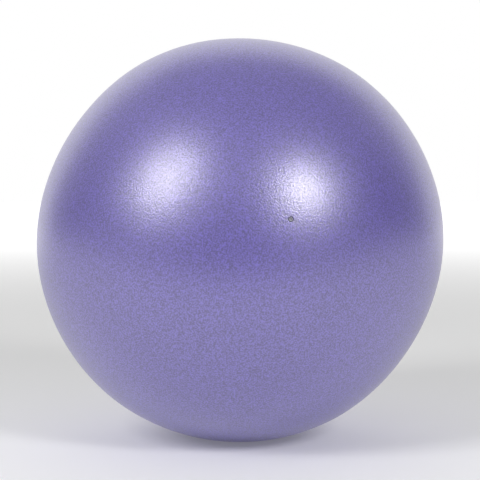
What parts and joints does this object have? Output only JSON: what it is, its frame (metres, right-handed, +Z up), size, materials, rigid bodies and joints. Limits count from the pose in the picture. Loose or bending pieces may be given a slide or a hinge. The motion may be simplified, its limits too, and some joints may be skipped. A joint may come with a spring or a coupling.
{
  "type": "exercise ball",
  "caption": "Small soft inflatable exercise ball with a frosted pearl skin, a flattened foot where it rests, and a push-in plug in a recessed valve.",
  "frame": {"origin": "on the floor, at the middle of the flat patch that the ball rests on", "axes": "+Z up through the ball's centre; the valve is on the -Y side, turned 12.7 degrees towards +X and 8 degrees above the ball's middle"},
  "size_m": [0.25, 0.25, 0.2482],
  "materials": {
    "shell": "frosted pearl violet soft PVC with a fine leathery grain",
    "valve": "plain violet soft PVC, satin",
    "plug": "pale grey polyethylene, satin"
  },
  "bodies": {
    "ball": {"ball_shell": "shell", "valve_insert": "valve"},
    "plug": {"valve_plug": "plug"}
  },
  "joints": [
    {"name": "plug_pull", "type": "slide", "parent": "ball", "child": "plug", "axis": [0.2177, -0.966, 0.1392], "range_m": [0, 0.018]}
  ]
}
